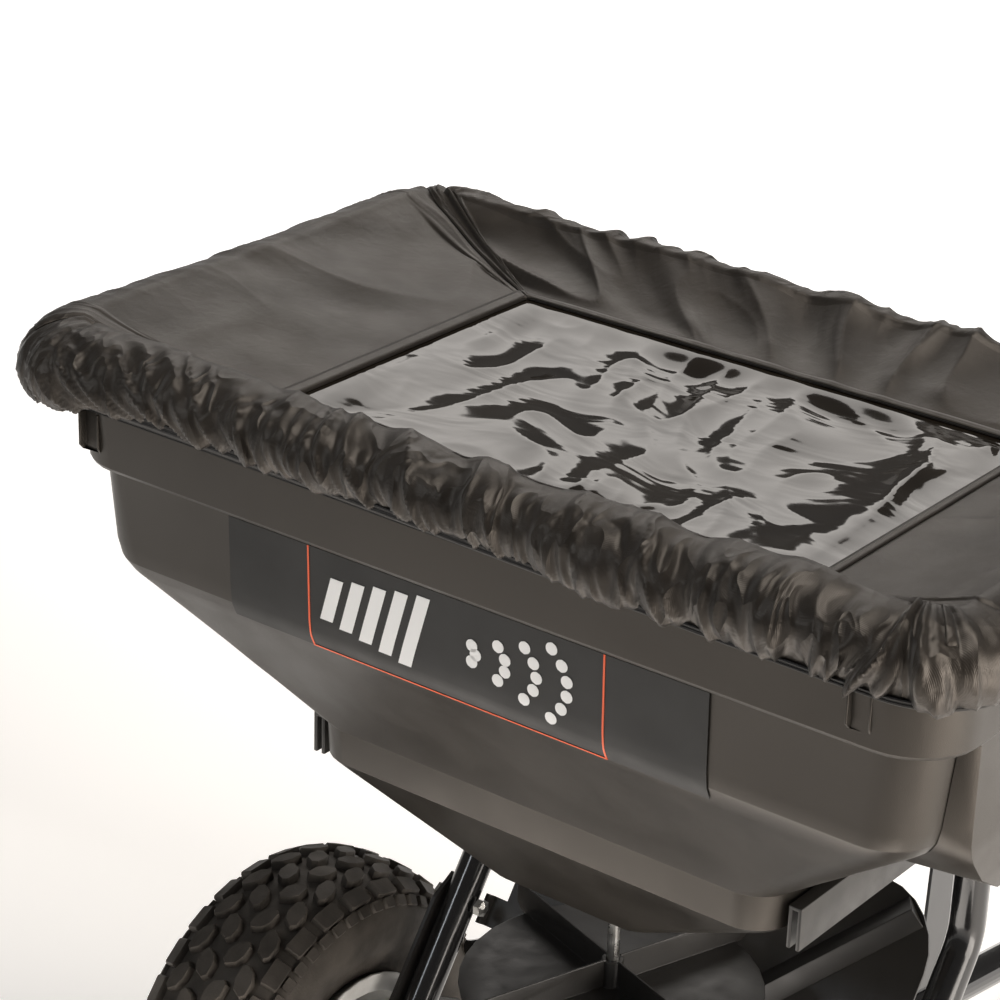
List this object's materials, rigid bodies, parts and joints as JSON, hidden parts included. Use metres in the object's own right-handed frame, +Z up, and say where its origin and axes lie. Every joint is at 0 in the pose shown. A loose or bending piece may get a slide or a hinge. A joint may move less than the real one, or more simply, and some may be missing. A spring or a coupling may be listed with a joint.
{
  "type": "tow_behind_spreader",
  "caption": "Tow behind broadcast spreader: black poly hopper with a gathered rain cover and clear window, tubular steel frame, two pneumatic wheels, axle-driven impeller and a drawbar.",
  "frame": {"origin": "on the floor, under the middle of the whole part's bounding box", "axes": "+Z up, +X along the axle to the driven wheel, +Y forwards along the drawbar to the towing vehicle"},
  "size_m": [0.75, 1.11, 0.8215],
  "materials": {
    "poly": "fine grained, satin",
    "paint": "gloss black powder coat",
    "zinc": "bright zinc plate",
    "rubber": "matt moulded rubber",
    "fabric": "coated black polyester with a slight sheen",
    "vinyl": "clear smoked vinyl film, glossy",
    "decal": "printed satin vinyl label",
    "nylon": "natural nylon",
    "grip": "soft black vinyl"
  },
  "bodies": {
    "chassis": {"hopper": "poly", "decal_panel": "decal", "support_channel_left": "paint", "support_channel_right": "paint", "frame_tube_left": "paint", "frame_tube_right": "paint", "axle_plate_left": "paint", "axle_plate_right": "paint", "axle_bearing_left": "nylon", "axle_bearing_right": "nylon", "crossover_tube": "paint", "draw_crossbar": "paint", "plate_bolt_left": "zinc", "plate_bolt_right": "zinc", "plate_nut_left": "zinc", "plate_nut_right": "zinc", "deflector_plate": "paint", "deflector_rib_left": "paint", "deflector_rib_right": "paint", "tow_tube": "paint", "tongue_brace_left": "paint", "tongue_brace_right": "paint", "hitch_clevis": "paint", "gear_case_upper": "poly", "gear_case_lower": "poly", "shaft_bushing": "nylon", "gate_guide_left": "zinc", "gate_guide_right": "zinc", "control_bracket": "paint", "lever_bolt": "zinc"},
    "drive_axle": {"axle": "zinc", "crown_gear": "zinc", "tyre_right": "rubber", "rim_right": "zinc", "valve_stem_right": "rubber", "axle_cap_left": "zinc", "axle_cap_right": "zinc", "axle_washer_left": "zinc", "axle_washer_right": "zinc", "axle_spacer_left": "zinc", "axle_spacer_right": "zinc"},
    "idle_wheel": {"tyre_left": "rubber", "rim_left": "zinc", "valve_stem_left": "rubber"},
    "impeller_assembly": {"impeller_shaft": "zinc", "impeller": "paint", "pinion_gear": "zinc", "agitator_pin": "zinc", "impeller_collar": "zinc"},
    "lever": {"control_lever": "paint", "lever_grip": "grip"},
    "gate": {"gate_plate": "zinc", "flow_rod": "zinc"},
    "stop": {"stop_bolt": "zinc", "stop_wing_nut": "zinc"},
    "cover": {"rain_cover": "fabric", "cover_elastic": "fabric", "cover_window": "vinyl"},
    "pin": {"hitch_pin": "zinc"}
  },
  "joints": [
    {"name": "axle_spin", "type": "hinge", "parent": "chassis", "child": "drive_axle", "pos_m": [0, -0.336, 0.165], "axis": [1, 0, 0], "continuous": true},
    {"name": "idle_wheel_spin", "type": "hinge", "parent": "chassis", "child": "idle_wheel", "pos_m": [-0.29, -0.336, 0.165], "axis": [1, 0, 0], "continuous": true},
    {"name": "impeller_spin", "type": "hinge", "parent": "chassis", "child": "impeller_assembly", "pos_m": [0, -0.336, 0.3475], "axis": [0, 0, 1], "continuous": true},
    {"name": "lever_swing", "type": "hinge", "parent": "chassis", "child": "lever", "pos_m": [0, 0.15, 0.321], "axis": [-1, 0, 0], "range_deg": [0, 20]},
    {"name": "gate_slide", "type": "slide", "parent": "chassis", "child": "gate", "axis": [0, 1, 0], "range_m": [0, 0.04]},
    {"name": "stop_slide", "type": "slide", "parent": "chassis", "child": "stop", "axis": [0, 1, 0], "range_m": [0, 0.012]},
    {"name": "cover_lift", "type": "slide", "parent": "chassis", "child": "cover", "axis": [0, 0, 1], "range_m": [0, 0.25]},
    {"name": "hitch_pin_lift", "type": "slide", "parent": "chassis", "child": "pin", "axis": [0, 0, 1], "range_m": [0, 0.09]}
  ],
  "couplings": [
    {"joint": "impeller_spin", "follows": "axle_spin", "ratio": -3},
    {"joint": "gate_slide", "follows": "lever_swing", "m_per_rad": 0.1135}
  ]
}
